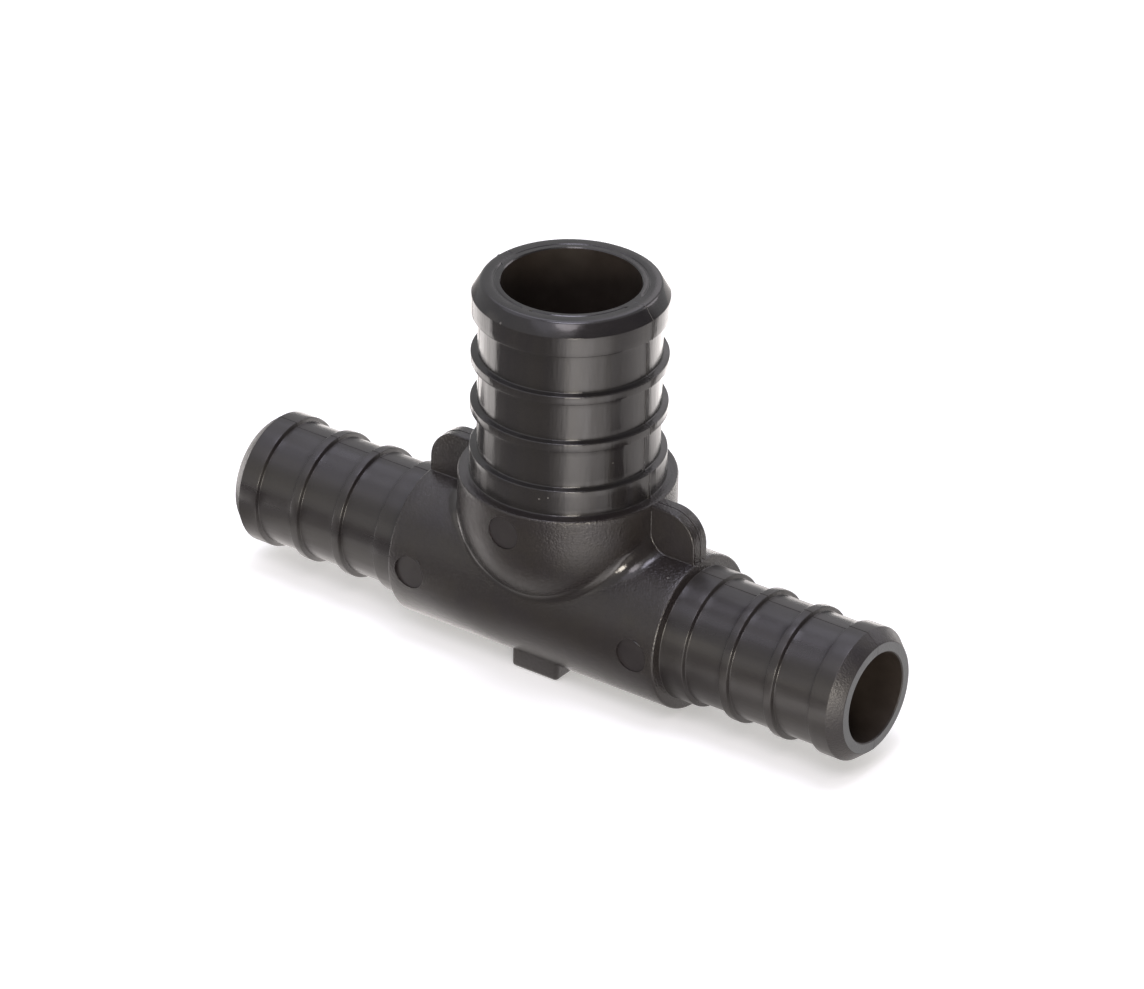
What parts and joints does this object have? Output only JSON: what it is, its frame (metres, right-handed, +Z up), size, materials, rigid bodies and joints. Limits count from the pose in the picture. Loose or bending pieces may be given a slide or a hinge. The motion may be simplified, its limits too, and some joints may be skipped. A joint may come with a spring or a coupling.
{
  "type": "barbed reducing tee for plastic water pipe",
  "caption": "Moulded black barbed tee: straight run with a ribbed pipe end each way and a larger ribbed branch, with side webs and a small foot.",
  "frame": {"origin": "where the axis of the run crosses the axis of the branch", "axes": "+X along the run, +Z up the branch, -Y towards the side with the ejector marks"},
  "size_m": [0.0664, 0.0196, 0.0376],
  "materials": {
    "black_resin": "black moulded resin, satin on the pipe ends and finely grained on the body"
  },
  "bodies": {
    "root": {"tee": "black_resin"}
  },
  "joints": []
}
